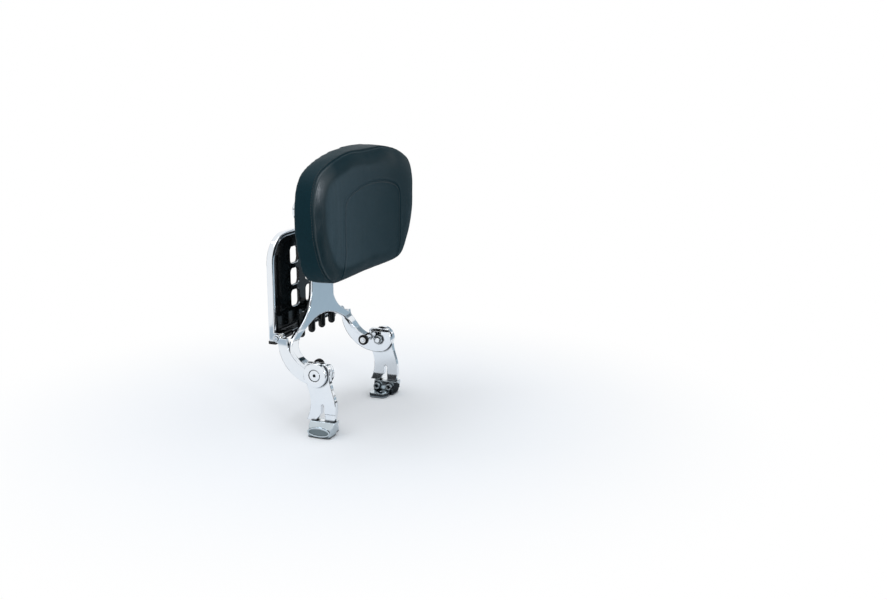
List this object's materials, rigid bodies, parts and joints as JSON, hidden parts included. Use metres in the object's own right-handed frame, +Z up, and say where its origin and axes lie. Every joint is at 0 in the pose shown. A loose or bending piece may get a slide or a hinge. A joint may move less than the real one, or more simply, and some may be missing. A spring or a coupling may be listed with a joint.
{
  "type": "motorcycle driver backrest",
  "caption": "Folding motorcycle backrest: padded cushion on a forked chromed plate with side arms, a fold-up luggage rack and two feet that bolt to the fender sides.",
  "frame": {"origin": "midway between the two foot bolt holes, on the underside of the feet", "axes": "+Z up, -Y towards the motorcycle's front and the side the pad faces, +X to the rider's left"},
  "size_m": [0.3314, 0.1235, 0.4011],
  "materials": {
    "chrome": "polished",
    "plated_steel": "bright plated",
    "satin_metal": "satin",
    "spring_steel": "bright",
    "nylon": "matte",
    "black_plastic": "matte",
    "black_rubber": "matte",
    "black_leather": "satin"
  },
  "bodies": {
    "base": {"foot_left": "chrome", "foot_right": "chrome", "foot_inlay_left": "satin_metal", "foot_inlay_right": "satin_metal", "lower_arm_left": "chrome", "lower_arm_right": "chrome", "clamp_screws": "plated_steel", "pivot_cap_left": "chrome", "pivot_cap_right": "chrome", "pivot_screws": "chrome", "pivot_nuts": "plated_steel", "pivot_washers": "nylon"},
    "upper_frame": {"wishbone_plate": "chrome", "side_arm_left": "chrome", "side_arm_right": "chrome", "pivot_bushes": "nylon", "cross_bar": "chrome", "bar_screws": "chrome", "plunger_barrel_left": "chrome", "plunger_barrel_right": "chrome", "pin_spring_left": "spring_steel", "pin_spring_right": "spring_steel"},
    "rack": {"rack_rail": "chrome", "rack_deck": "chrome", "hinge_rod": "chrome", "rack_washers": "nylon", "rack_bumpers": "black_rubber"},
    "carrier": {"pad_carrier": "plated_steel", "clamp_stud": "plated_steel", "clamp_washer": "plated_steel", "tilt_bolt": "plated_steel", "tilt_nut": "plated_steel"},
    "knob": {"clamp_knob": "chrome"},
    "pad": {"pad_bracket": "plated_steel", "pad_board": "black_plastic", "pad_cushion": "black_leather", "pad_screws": "plated_steel"},
    "plunger_left": {"lock_pin_left": "chrome", "pin_grip_left": "black_plastic"},
    "plunger_right": {"lock_pin_right": "chrome", "pin_grip_right": "black_plastic"}
  },
  "joints": [
    {"name": "frame_swing", "type": "hinge", "parent": "base", "child": "upper_frame", "pos_m": [0, 0.008, 0.09], "axis": [1, 0, 0], "range_deg": [0, 30]},
    {"name": "rack_fold", "type": "hinge", "parent": "upper_frame", "child": "rack", "pos_m": [0, 0.076, 0.133], "axis": [-1, 0, 0], "range_deg": [0, 90]},
    {"name": "pad_height", "type": "slide", "parent": "upper_frame", "child": "carrier", "axis": [0, 0, 1], "range_m": [0, 0.04]},
    {"name": "clamp_turn", "type": "hinge", "parent": "carrier", "child": "knob", "pos_m": [0, 0.08, 0.303], "axis": [0, 1, 0], "range_deg": [0, 360]},
    {"name": "pad_tilt", "type": "hinge", "parent": "carrier", "child": "pad", "pos_m": [0, 0.034, 0.303], "axis": [1, 0, 0], "range_deg": [-15, 12]},
    {"name": "pin_pull_left", "type": "slide", "parent": "upper_frame", "child": "plunger_left", "axis": [-1, 0, 0], "range_m": [0, 0.0032], "stiffness_N_per_m": 900, "springref_m": -0.004, "deforming": ["pin_spring_left"]},
    {"name": "pin_pull_right", "type": "slide", "parent": "upper_frame", "child": "plunger_right", "axis": [1, 0, 0], "range_m": [0, 0.0032], "stiffness_N_per_m": 900, "springref_m": -0.004, "deforming": ["pin_spring_right"]}
  ]
}
